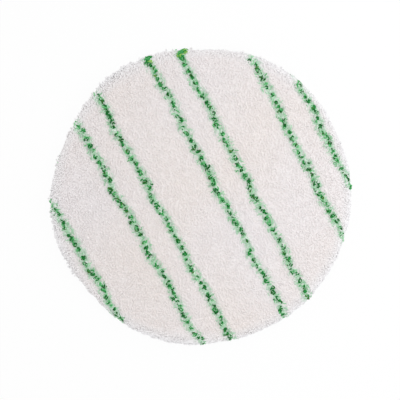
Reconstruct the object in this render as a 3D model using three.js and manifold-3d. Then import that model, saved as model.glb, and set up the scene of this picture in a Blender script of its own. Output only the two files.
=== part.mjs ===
// A round tufted floor polishing pad: white yarn on both faces, with green scrub strips.
//
// Millimetres, +Z up out of the upper face, +Y along the scrub strips, and the origin under the
// middle of the pad at the level it rests on.
//
// Two round cloths lie back to back, and an overlocked thread holds their edges together. Each cloth
// is tufted: soft white yarn stands on it in bands, and coarse green yarn stands in narrow strips
// between the bands. The yarn at the rim leans out past the edge of the cloth and hides it. The pad
// is reversible, so its lower face is the same cloth turned over, pressed level by the pad's weight.

import * as THREE from 'three';
import { mergeGeometries, mergeVertices } from 'three/addons/utils/BufferGeometryUtils.js';
import Module from 'manifold-3d';

const wasm = await Module();
wasm.setup();

// Driving dimensions of the cloths and the yarn.
const CLOTH_DIAMETER = 482.6;
const CLOTH_THICKNESS = 1.2;
const PILE_HEIGHT = 11.5;
const PILE_OVERHANG = 12.7;
const SCRUB_RISE = 0.6;
const FIT_GAP = 0.3;

// The scrub strips are stitched two by two.
const PAIR_PITCH = 151;
const PAIR_SPACING = 50.4;
const PAIR_OFFSET = 53.5;
const CLUMP_PITCH = 23;
const CLUMP_WIDTH = 9.6;
const WAIST_WIDTH = 5.4;
const CLUMP_SPREAD = 0.15;

// A strip wanders by two slow waves, and near the rim it also bows out.
const WANDER_REACH = [1.5, 1.1];
const WANDER_LENGTH = [124, 67];
const WANDER_SHIFT = [0.37, 0.61];
const EDGE_BOW = 8e-4;
const EDGE_BOW_POWER = 7;

// The rim: how far in it starts to round over, where it is widest above the cloth's back, and how
// deep the yarn of the two faces parts between them.
const RIM_ROUND = 15;
const RIM_BELLY = 4.5;
const RIM_PARTING = 2.6;
const RIM_TURNS = 3;

// The outline is not quite round: two ripples of five and six waves, and tufts that stand in or out.
const RIPPLE_REACH = 2.2;
const RIPPLES = [{ waves: 6, crest: 38 }, { waves: 5, crest: 90 }];
const RIPPLE_FADE = 4;
const TUFT_REACH = 1.1;
const TUFTS_PER_RADIAN = 20;

// The grid under the crown is swayed by this share of a ring, so that no rows show in it.
const GRID_SWAY = 0.25;

// The overlocked seam.
const SEAM_BITE = 6;
const SEAM_THICKNESS = 0.8;
const ROUND_SEGMENTS = 40;

// Sizes that follow.
const CLOTH_RADIUS = CLOTH_DIAMETER / 2;
const PAD_RADIUS = CLOTH_RADIUS + PILE_OVERHANG;
const FACE_HEIGHT = CLOTH_THICKNESS + PILE_HEIGHT;
const CUT_MARGIN = PAD_RADIUS / 6;

// The upper face is seen close to, so its yarn is lumpy and its strips have every clump. The lower
// face is pressed flat.
const UPPER = {
  name: 'upper', whiteCells: 28, greenCells: 10, lump: 1.3, rise: SCRUB_RISE, step: CLUMP_PITCH / 2,
};
const LOWER = {
  name: 'lower', whiteCells: 10, greenCells: 10, lump: 0, rise: 0, step: 4 * CLUMP_PITCH,
};

const finish = (color, roughness) => new THREE.MeshStandardMaterial({ color, roughness, metalness: 0 });
const whiteYarn = finish('#ebe6e3', 0.95);
const greenYarn = finish('#3f9a58', 0.8);
const clothWeave = finish('#d8d4cb', 0.9);
const seamThread = finish('#dcdad6', 0.85);

/** A repeatable number from 0 to 1 for two whole or broken numbers. */
function scatter(a, b) {
  const wave = Math.sin(a * 12.9898 + b * 78.233) * 43758.5453;
  return wave - Math.floor(wave);
}

/** Closed sheets of triangles as one solid. Triangles that merging has flattened are dropped. */
function toSolid(...sheets) {
  for (const sheet of sheets) {
    sheet.deleteAttribute('normal');
    sheet.deleteAttribute('uv');
  }
  const merged = mergeVertices(sheets.length > 1 ? mergeGeometries(sheets) : sheets[0]);
  const corners = merged.index.array;
  const triangles = [];
  for (let i = 0; i < corners.length; i += 3) {
    const [a, b, c] = corners.slice(i, i + 3);
    if (a !== b && b !== c && c !== a) triangles.push(a, b, c);
  }
  return new wasm.Manifold(new wasm.Mesh({
    numProp: 3,
    vertProperties: merged.getAttribute('position').array,
    triVerts: new Uint32Array(triangles),
  }));
}

/** A cut solid as geometry for a mesh. */
function toGeometry(solid) {
  const mesh = solid.getMesh();
  const geometry = new THREE.BufferGeometry();
  geometry.setAttribute('position', new THREE.BufferAttribute(mesh.vertProperties, 3));
  geometry.setIndex(new THREE.BufferAttribute(mesh.triVerts, 1));
  geometry.computeVertexNormals();
  return geometry;
}

/** A point of a square grid drawn out to a disc: its ring, from 0 to 1, and its angle. */
function placeOnDisc(x, y) {
  const ring = Math.max(Math.abs(x), Math.abs(y));
  if (ring === 0) return { ring, angle: 0 };
  if (Math.abs(x) >= Math.abs(y)) {
    return { ring, angle: (y / x) * Math.PI / 4 + (x < 0 ? Math.PI : 0) };
  }
  return { ring, angle: Math.PI / 2 - (x / y) * Math.PI / 4 + (y < 0 ? Math.PI : 0) };
}

/** How far the outline stands in or out at an angle. */
function ripple(angle) {
  let reach = 0;
  for (const { waves, crest } of RIPPLES) {
    reach += RIPPLE_REACH * Math.cos(waves * (angle - THREE.MathUtils.degToRad(crest)));
  }
  return reach + TUFT_REACH * (2 * scatter(Math.round(angle * TUFTS_PER_RADIAN), 7) - 1);
}

/** Radius and height of the rounded rim, counted in turns outwards from the level crown. */
function rimPoint(turn, crown) {
  if (turn > RIM_TURNS) return { radius: PAD_RADIUS - RIM_PARTING, height: 0 };
  const lean = (turn / RIM_TURNS) * Math.PI / 2;
  return {
    radius: PAD_RADIUS - RIM_ROUND + RIM_ROUND * Math.sin(lean),
    height: RIM_BELLY + (crown - RIM_BELLY) * Math.cos(lean),
  };
}

/** All the yarn of one face as a solid that stands on height 0, with a lumpy crown and a round rim. */
function yarnSolid(cells, crown, lump) {
  const skin = new THREE.PlaneGeometry(2, 2, cells, cells);
  const points = skin.getAttribute('position');
  const rimRings = RIM_TURNS + 1;
  const crownRings = cells / 2 - rimRings;
  const outline = [];
  for (let i = 0; i < points.count; i++) {
    const { ring, angle } = placeOnDisc(points.getX(i), points.getY(i));
    const count = Math.round(ring * cells / 2);
    let { radius, height } = rimPoint(Math.max(count - crownRings, 0), crown);
    if (count < crownRings) {
      const sway = count === 0 ? 0 : GRID_SWAY * (2 * scatter(i, 3) - 1);
      radius *= (count + sway) / crownRings;
    }
    if (count < cells / 2) height -= lump * scatter(i, 5);
    radius += ripple(angle) * (radius / PAD_RADIUS) ** RIPPLE_FADE;
    points.setXYZ(i, radius * Math.cos(angle), radius * Math.sin(angle), height);
    if (count === cells / 2) outline.push({ angle, i });
  }
  outline.sort((one, other) => one.angle - other.angle);
  const edge = outline.map(({ i }) => new THREE.Vector2(points.getX(i), points.getY(i)));
  const back = new THREE.ShapeGeometry(new THREE.Shape(edge));
  back.index.array.reverse();
  return toSolid(skin, back);
}

/** The room that one cloth and its half of the seam take out of the yarn, with their clearance. */
function clothRecess() {
  const clothRoom = CLOTH_THICKNESS + FIT_GAP;
  const seamRoom = clothRoom + SEAM_THICKNESS + FIT_GAP;
  const seamIn = CLOTH_RADIUS - SEAM_BITE - FIT_GAP;
  const seamOut = CLOTH_RADIUS + SEAM_THICKNESS + 2 * FIT_GAP;
  const profile = [
    new THREE.Vector2(0, -CUT_MARGIN),
    new THREE.Vector2(seamOut, -CUT_MARGIN),
    new THREE.Vector2(seamOut, seamRoom),
    new THREE.Vector2(seamIn, seamRoom),
    new THREE.Vector2(seamIn, clothRoom),
    new THREE.Vector2(0, clothRoom),
  ];
  return toSolid(new THREE.LatheGeometry(profile, ROUND_SEGMENTS).rotateX(Math.PI / 2));
}

/** The strips that the cloth is wide enough to carry, from left to right: a number and a place. */
function strips() {
  const widest = CLOTH_RADIUS - CLUMP_WIDTH / 2;
  const pairs = Math.ceil(CLOTH_DIAMETER / PAIR_PITCH);
  const carried = [];
  for (let pair = -pairs; pair <= pairs; pair++) {
    for (const side of [-1, 1]) {
      const home = PAIR_OFFSET + pair * PAIR_PITCH + side * PAIR_SPACING / 2;
      if (Math.abs(home) < widest) carried.push({ number: 2 * pair + side / 2, home });
    }
  }
  return carried;
}

/** Where the middle of a strip lies across the pad, at one place along it. */
function stripMiddle({ number, home }, along) {
  let across = home + EDGE_BOW * (home / PAD_RADIUS) ** EDGE_BOW_POWER * along ** 2;
  for (const [i, reach] of WANDER_REACH.entries()) {
    const turns = along / WANDER_LENGTH[i] + WANDER_SHIFT[i] * number;
    across += reach * Math.sin(2 * Math.PI * turns);
  }
  return across;
}

/** One edge of a strip from the near rim to the far one: wide at each clump, narrow between two. */
function stripEdge(strip, side, step, clearance) {
  const steps = Math.ceil((PAD_RADIUS + CUT_MARGIN) / step);
  const edge = [];
  for (let k = -steps; k <= steps; k++) {
    const width = k % 2 === 0 ? CLUMP_WIDTH : WAIST_WIDTH;
    const spread = CLUMP_SPREAD * (2 * scatter(k + side / 2, strip.number) - 1);
    const half = width / 2 * (1 + spread);
    const across = stripMiddle(strip, k * step) + side * (half + clearance);
    edge.push(new THREE.Vector2(across, k * step));
  }
  return edge;
}

/** A straight edge well outside the pad, for the two outermost bands. */
function outerEdge(side) {
  const far = PAD_RADIUS + CUT_MARGIN;
  return [new THREE.Vector2(side * far, -far), new THREE.Vector2(side * far, far)];
}

/** An upright block between a left and a right edge, taller than the yarn. */
function blockBetween(left, right) {
  const shape = new THREE.Shape([...right, ...left.toReversed()]);
  const depth = FACE_HEIGHT + 2 * CUT_MARGIN;
  const block = new THREE.ExtrudeGeometry(shape, { depth, bevelEnabled: false });
  return toSolid(block.translate(0, 0, -CUT_MARGIN));
}

/** The yarn between two edges as a named mesh. */
function yarnMesh(name, yarn, left, right, material) {
  const mesh = new THREE.Mesh(toGeometry(yarn.intersect(blockBetween(left, right))), material);
  mesh.name = name;
  return mesh;
}

/** One round cloth, which lies on its back at height 0. */
function clothMesh(name) {
  const disc = new THREE.CylinderGeometry(CLOTH_RADIUS, CLOTH_RADIUS, CLOTH_THICKNESS, ROUND_SEGMENTS);
  const mesh = new THREE.Mesh(disc, clothWeave);
  mesh.name = name;
  mesh.rotation.x = Math.PI / 2;
  mesh.position.z = CLOTH_THICKNESS / 2;
  return mesh;
}

/** One face of the pad with its back at height 0: its cloth, its white bands and its green strips. */
function padFace({ name, whiteCells, greenCells, lump, rise, step }) {
  const face = new THREE.Group();
  const recess = clothRecess();
  const white = yarnSolid(whiteCells, FACE_HEIGHT, lump).subtract(recess);
  const green = yarnSolid(greenCells, FACE_HEIGHT + rise, lump).subtract(recess);
  face.add(clothMesh(`${name}_backing`));
  let left = outerEdge(-1);
  let count = 0;
  for (const strip of strips()) {
    count++;
    const right = stripEdge(strip, -1, step, FIT_GAP);
    face.add(yarnMesh(`${name}_pile_band_${count}`, white, left, right, whiteYarn));
    const edges = [stripEdge(strip, -1, step, 0), stripEdge(strip, 1, step, 0)];
    face.add(yarnMesh(`${name}_scrub_strip_${count}`, green, ...edges, greenYarn));
    left = stripEdge(strip, 1, step, FIT_GAP);
  }
  face.add(yarnMesh(`${name}_pile_band_${count + 1}`, white, left, outerEdge(1), whiteYarn));
  return face;
}

/** The overlocked thread: a channel turned around the edges of both cloths. */
function rimSeam() {
  const outer = CLOTH_RADIUS + FIT_GAP + SEAM_THICKNESS;
  const inner = CLOTH_RADIUS + FIT_GAP;
  const lip = CLOTH_RADIUS - SEAM_BITE;
  const under = FIT_GAP / 2 + CLOTH_THICKNESS + FIT_GAP;
  const over = under + SEAM_THICKNESS;
  const profile = [
    new THREE.Vector2(lip, -over),
    new THREE.Vector2(outer, -over),
    new THREE.Vector2(outer, over),
    new THREE.Vector2(lip, over),
    new THREE.Vector2(lip, under),
    new THREE.Vector2(inner, under),
    new THREE.Vector2(inner, -under),
    new THREE.Vector2(lip, -under),
    new THREE.Vector2(lip, -over),
  ];
  const mesh = new THREE.Mesh(new THREE.LatheGeometry(profile, ROUND_SEGMENTS), seamThread);
  mesh.name = 'rim_overlock_seam';
  mesh.rotation.x = Math.PI / 2;
  mesh.position.z = FACE_HEIGHT + FIT_GAP / 2;
  return mesh;
}

/** The whole pad, moved so that its outline is centred on the origin. */
function floorPad() {
  const pad = new THREE.Group();
  const upper = padFace(UPPER);
  upper.position.z = FACE_HEIGHT + FIT_GAP;
  const lower = padFace(LOWER);
  lower.rotation.y = Math.PI;
  lower.position.z = FACE_HEIGHT;
  pad.add(upper, lower, rimSeam());
  const middle = new THREE.Box3().setFromObject(pad).getCenter(new THREE.Vector3());
  pad.position.set(-middle.x, -middle.y, 0);
  return pad;
}

export default floorPad();
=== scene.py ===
# %% [markdown]
# # A tufted floor polishing pad
#
# The pad is a soft disc, half a metre across. Two round cloths lie back to back. Each is tufted with
# thick white yarn, and narrow strips of coarse green yarn run across it to scrub as the pad turns.
# This lesson dresses the solid model of that pad with yarn, tuft by tuft.

# %% Load the solid model as a fixed frame
import math

import bpy
import numpy as np
from mathutils import Matrix, Vector
from mathutils.bvhtree import BVHTree


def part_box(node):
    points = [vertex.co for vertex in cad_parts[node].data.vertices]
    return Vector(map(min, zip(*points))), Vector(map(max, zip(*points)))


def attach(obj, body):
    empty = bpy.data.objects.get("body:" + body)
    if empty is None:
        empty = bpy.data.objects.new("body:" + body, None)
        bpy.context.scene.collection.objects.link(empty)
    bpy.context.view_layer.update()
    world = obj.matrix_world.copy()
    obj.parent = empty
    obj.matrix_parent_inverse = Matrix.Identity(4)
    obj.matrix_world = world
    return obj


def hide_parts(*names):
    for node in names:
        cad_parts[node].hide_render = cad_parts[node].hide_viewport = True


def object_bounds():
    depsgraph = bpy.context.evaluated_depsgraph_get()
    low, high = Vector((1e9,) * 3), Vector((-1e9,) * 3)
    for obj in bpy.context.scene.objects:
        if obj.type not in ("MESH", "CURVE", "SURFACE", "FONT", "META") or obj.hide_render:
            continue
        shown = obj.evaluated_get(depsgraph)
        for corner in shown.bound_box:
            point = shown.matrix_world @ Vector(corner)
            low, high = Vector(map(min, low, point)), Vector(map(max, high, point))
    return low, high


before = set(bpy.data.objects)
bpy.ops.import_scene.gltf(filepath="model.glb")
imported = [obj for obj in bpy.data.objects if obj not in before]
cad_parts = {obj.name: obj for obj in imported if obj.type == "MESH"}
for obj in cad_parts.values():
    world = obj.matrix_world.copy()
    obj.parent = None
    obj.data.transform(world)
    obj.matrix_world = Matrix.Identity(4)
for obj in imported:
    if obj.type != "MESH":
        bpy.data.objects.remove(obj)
cad_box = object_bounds()
MM = 0.001
print("pad", [round(side / MM, 1) for side in cad_box[1] - cad_box[0]], "mm")

# %% [markdown]
# ## What the frame says about the pad
#
# Every size is read from the solid model, so the yarn follows if the model changes. The cloths give
# the levels at which the two faces stand back to back. A face is described by its name, the level of
# its cloth's back, and the way that its yarn points: up for the upper face, down for the lower.

# %% Measure the cloths and name the two faces
upper_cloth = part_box("upper_backing")
lower_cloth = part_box("lower_backing")
CLOTH_RADIUS = (upper_cloth[1].x - upper_cloth[0].x) / 2
CLOTH_MIDDLE = (upper_cloth[0] + upper_cloth[1]) / 2
PAD_RADIUS = (cad_box[1].x - cad_box[0].x) / 2
FACES = {
    "upper": {"back": upper_cloth[0].z, "way": 1.0},
    "lower": {"back": lower_cloth[1].z, "way": -1.0},
}
FACE_HEIGHT = FACES["lower"]["back"] - cad_box[0].z
print("cloth radius", round(CLOTH_RADIUS / MM, 1), "face height", round(FACE_HEIGHT / MM, 1))

# %% [markdown]
# ## Where the yarn's skin lies
#
# A ray is cast at the solid model wherever a tuft is to stand. The model's bands and strips are
# gathered in one search tree for each face, with a list that says which node each triangle belongs
# to. One hit then gives both the height of the tuft and the piece that it is sewn into.

# %% Gather each face's solids in a search tree
def skin_of(face):
    """The search tree over one face's yarn solids, and the node of each of its triangles."""
    points, corners, owners = [], [], []
    for node, solid in sorted(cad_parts.items()):
        if not node.startswith(face) or "backing" in node:
            continue
        first = len(points)
        points.extend(vertex.co.copy() for vertex in solid.data.vertices)
        for polygon in solid.data.polygons:
            corners.append([first + index for index in polygon.vertices])
            owners.append(node)
    return BVHTree.FromPolygons(points, corners), owners


skins = {face: skin_of(face) for face in FACES}
print({face: len(owners) for face, (tree, owners) in skins.items()}, "triangles to sew on")

# %% [markdown]
# ## Where tufts are sewn
#
# A tufting machine sews parallel rows, so the tufts of the level crown stand in rows along the
# strips, a little out of line. Around the rounded rim the yarn fans out instead, and there the tufts
# stand in rings. The rim turns about a circle inside the yarn, which is called the spine here: every
# rim tuft points away from it.

# %% Lay out the tufts of the crown and the rim
RIM_ROUND = 15 * MM
SPINE_RADIUS = PAD_RADIUS - RIM_ROUND
SPINE_HEIGHT = 4.5 * MM
RIM_TURN_END = math.radians(118)
RING_SHARE = 0.9
ROW_SCATTER = 0.24
RING_SCATTER = 0.35
LEAN_SCATTER = 0.09


def crown_places(row_pitch, tuft_pitch, rng):
    """Points of the level crown, in rows along the strips, with directions straight up."""
    rows = np.arange(-SPINE_RADIUS, SPINE_RADIUS, row_pitch)
    steps = np.arange(-SPINE_RADIUS, SPINE_RADIUS, tuft_pitch)
    x, y = (grid.ravel() for grid in np.meshgrid(rows, steps, indexing="ij"))
    y = y + (np.arange(len(x)) // len(steps) % 2) * tuft_pitch / 2
    x = x + rng.normal(0, ROW_SCATTER * row_pitch, len(x))
    y = y + rng.normal(0, ROW_SCATTER * tuft_pitch, len(y))
    inside = x**2 + y**2 < SPINE_RADIUS**2
    points = np.stack([x, y, np.full(len(x), SPINE_HEIGHT)], 1)[inside]
    return points, np.tile([0.0, 0.0, 1.0], (len(points), 1))


def rim_places(pitch, rng):
    """Points of the spine, in rings that turn over the rim, with their directions."""
    radius = RIM_ROUND * RING_SHARE
    turns = np.arange(0.5 * pitch, RIM_TURN_END * radius, pitch) / radius
    points, ways = [], []
    for turn in turns:
        count = int(2 * math.pi * (SPINE_RADIUS + RIM_ROUND * math.sin(turn)) / pitch)
        angle = (np.arange(count) + rng.uniform(-RING_SCATTER, RING_SCATTER, count)) / count * 2 * math.pi
        lean = turn + rng.normal(0, LEAN_SCATTER, count)
        out = np.stack([np.cos(angle), np.sin(angle), np.zeros(count)], 1)
        points.append(out * SPINE_RADIUS + [0, 0, SPINE_HEIGHT])
        ways.append(out * np.sin(lean)[:, None] + np.outer(np.cos(lean), [0, 0, 1]))
    return np.concatenate(points), np.concatenate(ways)


print("the spine lies", round(SPINE_RADIUS / MM, 1), "mm from the middle")

# %% Find each tuft's place on the skin
RAY_ROUNDS = 3
PITCHES = {"upper": (4.3 * MM, 4.5 * MM), "lower": (6.8 * MM, 7.0 * MM)}


def sewn_tufts(face, row_pitch, tuft_pitch, rng):
    """Where tufts meet the skin of a face: their node, place and outward direction."""
    crown = crown_places(row_pitch, tuft_pitch, rng)
    rim = rim_places(tuft_pitch, rng)
    tree, owners = skins[face]
    back, way = FACES[face]["back"], FACES[face]["way"]
    reach = RAY_ROUNDS * RIM_ROUND
    tufts = {}
    for place, out in zip(np.concatenate([crown[0], rim[0]]), np.concatenate([crown[1], rim[1]])):
        out = Vector((out[0], out[1], out[2] * way))
        start = Vector((place[0], place[1], back + way * place[2])) + out * reach
        hit, _, index, distance = tree.ray_cast(start, -out)
        if hit is None or distance > reach:
            continue
        tufts.setdefault(owners[index], []).append((hit, out))
    return {node: (np.array([p for p, o in found]), np.array([o for p, o in found]))
            for node, found in tufts.items()}


rng = np.random.default_rng(7)
sewn = {face: sewn_tufts(face, *PITCHES[face], rng) for face in FACES}
for face, tufts in sewn.items():
    print(face, "tufts", sum(len(points) for points, outs in tufts.values()))

# %% [markdown]
# ## How a strand becomes a mesh
#
# A tuft, a curl or a stitch is a short strand along a few points. Curve objects could draw them, but
# thousands of objects would be slow and their ends would be open. So all strands of a piece are
# worked out together as arrays and written into one mesh. Each strand has a square section, which
# smooth shading rounds off, and both ends are closed.
#
# Three things are stored for the materials. The `tuft` attribute is one random number per strand,
# `height` runs from 0 at the foot to 1 at the top, and `tint` says how green the strand is. The white
# yarn uses `height` for painted shade, which greys the feet of its loops. The `yarn` map holds the
# turn around the strand and the length along it, which the twist needs, and the `OFBake` map lays
# every strand in a square of its own, so that colours can be baked.

# %% The skin of a strand
SIDES = 4


def unit(vectors):
    """Each vector at length 1."""
    return vectors / np.maximum(np.linalg.norm(vectors, axis=-1, keepdims=True), 1e-9)


def strand_points(paths, widths, sideways):
    """The skin points of strands along paths of shape (strand, step, 3)."""
    along = unit(np.gradient(paths, axis=1))
    across = unit(np.cross(along, sideways[:, None, :]))
    upward = np.cross(along, across)
    turn = (np.arange(SIDES) + 0.5) / SIDES * 2 * math.pi
    ring = np.cos(turn)[:, None] * across[:, :, None] + np.sin(turn)[:, None] * upward[:, :, None]
    return paths[:, :, None] + ring * widths[:, :, None, None]


def strand_faces(count, steps):
    """Quads of count strands: their sides, then the two ends of each."""
    step, side = (grid.ravel() for grid in np.meshgrid(range(steps - 1), range(SIDES), indexing="ij"))
    after = (side + 1) % SIDES
    low, high = step * SIDES, (step + 1) * SIDES
    sides = np.stack([low + side, low + after, high + after, high + side], 1)
    last = (steps - 1) * SIDES
    ends = np.array([[3, 2, 1, 0], [last, last + 1, last + 2, last + 3]])
    one = np.concatenate([sides, ends])
    return (one[None] + (np.arange(count) * steps * SIDES)[:, None, None]).reshape(-1, 4)


print("strands have", SIDES, "sides")

# %% The maps of a strand
WRAP_SHARE = 0.8
END_PATCH = np.array([[0.84, 0.1], [0.98, 0.1], [0.98, 0.4], [0.84, 0.4]])
OTHER_END = [0, 0.5]


def strand_maps(paths, count, steps):
    """The turn and length at each corner of the strands, and its place in the strand's square."""
    step, side = (grid.ravel() for grid in np.meshgrid(range(steps - 1), range(SIDES), indexing="ij"))
    corner_side = np.stack([side, side + 1, side + 1, side], 1)
    corner_step = np.stack([step, step, step + 1, step + 1], 1)
    length = np.linalg.norm(np.diff(paths, axis=1), axis=2)
    length = np.concatenate([np.zeros((count, 1)), np.cumsum(length, axis=1)], 1)
    ends = np.zeros((count, 2, 4, 2))
    ends[:, 1, :, 1] = length[:, -1:]
    turn = np.broadcast_to(corner_side / SIDES, (count, *corner_side.shape))
    yarn = np.concatenate([np.stack([turn, length[:, corner_step]], -1), ends], 1)

    square = np.stack([corner_side / SIDES * WRAP_SHARE, corner_step / (steps - 1)], -1)
    inside = np.concatenate([square, [END_PATCH, END_PATCH + OTHER_END]])
    return yarn, np.broadcast_to(inside, (count, *inside.shape))


print("the sides take", WRAP_SHARE, "of a strand's square in the bake map")

# %% Gather strands in one mesh
BED_BAND, BED_FILL = 0.08, 0.9
SQUARE_MARGIN = 0.06


class Yarn:
    """Batches of strands, and the bed that they stand in, which are written into one mesh."""

    def __init__(self, bed_points, bed_faces, bed_tint):
        self.bed_points, self.bed_faces, self.bed_tint = bed_points, bed_faces, bed_tint
        self.points, self.faces, self.values, self.maps = [], [], [], []
        self.count = len(bed_points)
        self.strands = 0

    def add(self, paths, widths, sideways, height, tint, rng):
        """Adds strands. height and tint have one number for each step of each strand."""
        count, steps = paths.shape[:2]
        self.points.append(strand_points(paths, widths, sideways).reshape(-1, 3))
        self.faces.append(strand_faces(count, steps) + self.count)
        tuft = np.repeat(rng.random(count)[:, None], steps, 1)
        values = [np.broadcast_to(part, (count, steps)) for part in (tuft, height, tint)]
        self.values.append(np.repeat(np.stack(values, -1).reshape(-1, 3), SIDES, 0))
        self.maps.append(strand_maps(paths, count, steps))
        self.count += count * steps * SIDES
        self.strands += count

    def bake_spots(self):
        """The bake map: a square for each strand above a low band for the bed."""
        columns = math.ceil(math.sqrt(self.strands))
        spots, done = [], 0
        for yarn, inside in self.maps:
            number = done + np.arange(len(inside))
            cell = np.stack([number % columns, number // columns], 1)[:, None, None]
            inset = SQUARE_MARGIN + (1 - 2 * SQUARE_MARGIN) * inside
            spots.append(((cell + inset) / columns).reshape(-1, 2))
            done += len(inside)
        spots = np.concatenate(spots)
        spots[:, 1] = BED_BAND + (1 - BED_BAND) * spots[:, 1]
        return spots

    def mesh(self, name):
        """The bed and all strands as a mesh, with their attributes and maps."""
        made = bpy.data.meshes.new(name)
        points = np.concatenate([self.bed_points, *self.points])
        faces = self.bed_faces + np.concatenate(self.faces).tolist()
        made.from_pydata(points, [], faces)
        # The bed stands at height 0, so the white dye paints it with the full shade of a loop's feet.
        bed_values = np.tile([0.5, 0.0, self.bed_tint], (len(self.bed_points), 1))
        values = np.concatenate([bed_values, *self.values])
        for column, label in enumerate(("tuft", "height", "tint")):
            stored = made.attributes.new(label, "FLOAT", "POINT")
            stored.data.foreach_set("value", values[:, column].astype(np.float32))

        corners = np.array([index for face in self.bed_faces for index in face])
        plan = self.bed_points[corners, :2]
        yarn = np.concatenate([plan, *[part[0].reshape(-1, 2) for part in self.maps]])
        low, size = plan.min(0), np.maximum(np.ptp(plan, axis=0), 1e-6)
        bake = np.concatenate([(plan - low) / size * [1, BED_FILL * BED_BAND], self.bake_spots()])
        for label, spots in (("yarn", yarn), ("OFBake", bake)):
            layer = made.uv_layers.new(name=label)
            layer.uv.foreach_set("vector", spots.astype(np.float32).ravel())
        made.shade_smooth()
        return made


print("the bed takes", BED_BAND, "of the bake map")

# %% [markdown]
# ## The shape of one tuft
#
# A tuft is a loop of soft yarn that has been pulled up through the cloth and has fallen over. What
# shows from above is the bow of the loop. So each tuft is an arch: both feet sink below the skin,
# and the bow just reaches it. Length, lean and heading are random, within limits that keep the
# surface closed.

# %% Bend strands into arches
ARCH_SWEEP = math.radians(88)
LAY = math.radians(62)
LAY_SWIRL = 60 * MM
SWIRL_ACROSS, SWIRL_ALONG = 0.5, 0.4
SWIRL_SHIFT, SWIRL_RATIO = 1.0, 1.3
LEVEL_ENOUGH = 0.45


def around(axis, vector, angle):
    """Each vector turned about its axis."""
    cos, sin = np.cos(angle)[:, None], np.sin(angle)[:, None]
    along = axis * np.sum(axis * vector, 1, keepdims=True)
    return vector * cos + np.cross(axis, vector) * sin + along * (1 - cos)


def headings(outs, rng):
    """A random direction square to each outward one."""
    helper = np.where(np.abs(outs[:, 2:]) > 0.7, [[1.0, 0.0, 0.0]], [[0.0, 0.0, 1.0]])
    start = unit(np.cross(outs, helper))
    return around(outs, start, rng.uniform(0, 2 * math.pi, len(outs)))


def combed(places, outs, spread, rng):
    """Directions that follow the lay of the pile, each off by a random angle."""
    swirl = SWIRL_ACROSS * np.sin(places[:, 0] / LAY_SWIRL + SWIRL_SHIFT)
    swirl = swirl + SWIRL_ALONG * np.sin(places[:, 1] / LAY_SWIRL * SWIRL_RATIO)
    angle = LAY + swirl + rng.normal(0, spread, len(places))
    lay = np.stack([np.cos(angle), np.sin(angle), np.zeros(len(places))], 1)
    level = unit(lay - outs * np.sum(lay * outs, 1, keepdims=True))
    return np.where(np.abs(outs[:, 2:]) > LEVEL_ENOUGH, level, headings(outs, rng))


def arches(places, outs, heading, size, steps, rng):
    """Paths of arched loops whose bows reach their places, and the directions across them."""
    count = len(places)
    upright = around(heading, outs, rng.normal(0, size["lean"], count))
    beside = np.cross(heading, upright)
    share = np.linspace(-1, 1, steps)
    run = np.sin(ARCH_SWEEP * share) * (size["length"] / 2)[:, None]
    drop = (np.cos(ARCH_SWEEP * share) - 1) * size["rise"][:, None]
    bow = (1 - share**2) * rng.normal(0, size["bend"], (count, 1))
    bow = bow + np.sin(math.pi * share) * rng.normal(0, 0.5 * size["bend"], (count, 1))
    top = (places - outs * size["width"][:, None])[:, None]
    paths = top + heading[:, None] * run[..., None] + upright[:, None] * drop[..., None]
    return paths + beside[:, None] * bow[..., None], beside


print("arches sweep", round(math.degrees(2 * ARCH_SWEEP)), "degrees")

# %% [markdown]
# ## The bed under the tufts
#
# Between the bows one looks down on more yarn, not on cloth. Modelling all of it would double the
# mesh for nothing, so each piece keeps a closed bed: a copy of its solid whose outer skin is sunk by
# about two millimetres. The sides that face the next piece stay where they are.

# %% Sink a copy of a solid
BED_DEPTH = 2.1 * MM
SKIN_CLEAR = 3.5 * MM


def outward(points, face):
    """The direction in which the yarn stands at each point of a face."""
    back, way = FACES[face]["back"], FACES[face]["way"]
    radius = np.maximum(np.linalg.norm(points[:, :2], axis=1), 1e-6)
    beyond = np.maximum(radius - SPINE_RADIUS, 0)
    rise = np.maximum(way * (points[:, 2] - back) - SPINE_HEIGHT, 0)
    rise = np.where(beyond == 0, 1, rise)
    flat = points[:, :2] / radius[:, None] * beyond[:, None]
    return unit(np.concatenate([flat, (way * rise)[:, None]], 1))


def bed_of(node, face):
    """The points and faces of a sunken copy of a node's solid."""
    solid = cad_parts[node].data
    points = np.array([vertex.co for vertex in solid.vertices])
    back, way = FACES[face]["back"], FACES[face]["way"]
    high = way * (points[:, 2] - back) > SKIN_CLEAR
    outside = np.linalg.norm(points[:, :2], axis=1) > CLOTH_RADIUS + SKIN_CLEAR
    sunk = np.where(high | outside, BED_DEPTH, 0.0)
    faces = [list(polygon.vertices) for polygon in solid.polygons]
    return points - outward(points, face) * sunk[:, None], faces


print("beds lie", round(BED_DEPTH / MM, 1), "mm below the skin")

# %% [markdown]
# ## Where the green strips run
#
# The green yarn lies over the white in narrow strips. Their tufts are dyed, and the white tufts
# beside them catch green fibres, so a strip fades out over a few millimetres. A second search tree
# holds only the strips: the distance to it says how much green a white tuft has caught.

# %% Measure how near each place is to a strip
FRINGE = 9.5 * MM
FRINGE_FALLOFF = 1.5


def strip_nodes(face):
    """The names of one face's scrub strips."""
    return sorted(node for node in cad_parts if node.startswith(face + "_scrub"))


def strip_tree(face):
    """A search tree over the strips of one face."""
    points, corners = [], []
    for node in strip_nodes(face):
        first = len(points)
        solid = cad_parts[node].data
        points.extend(vertex.co.copy() for vertex in solid.vertices)
        corners.extend([first + index for index in polygon.vertices] for polygon in solid.polygons)
    return BVHTree.FromPolygons(points, corners)


strip_trees = {face: strip_tree(face) for face in FACES}


def caught_green(face, places):
    """How much green each place has caught, from 0 far away to 1 at a strip."""
    gaps = np.array([strip_trees[face].find_nearest(Vector(place))[3] for place in places])
    return np.clip(1 - gaps / FRINGE, 0, 1) ** FRINGE_FALLOFF


print({face: len(strip_nodes(face)) for face in FACES}, "strips")

# %% Follow a strip over the skin
STATION_STEP = 8 * MM


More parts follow.
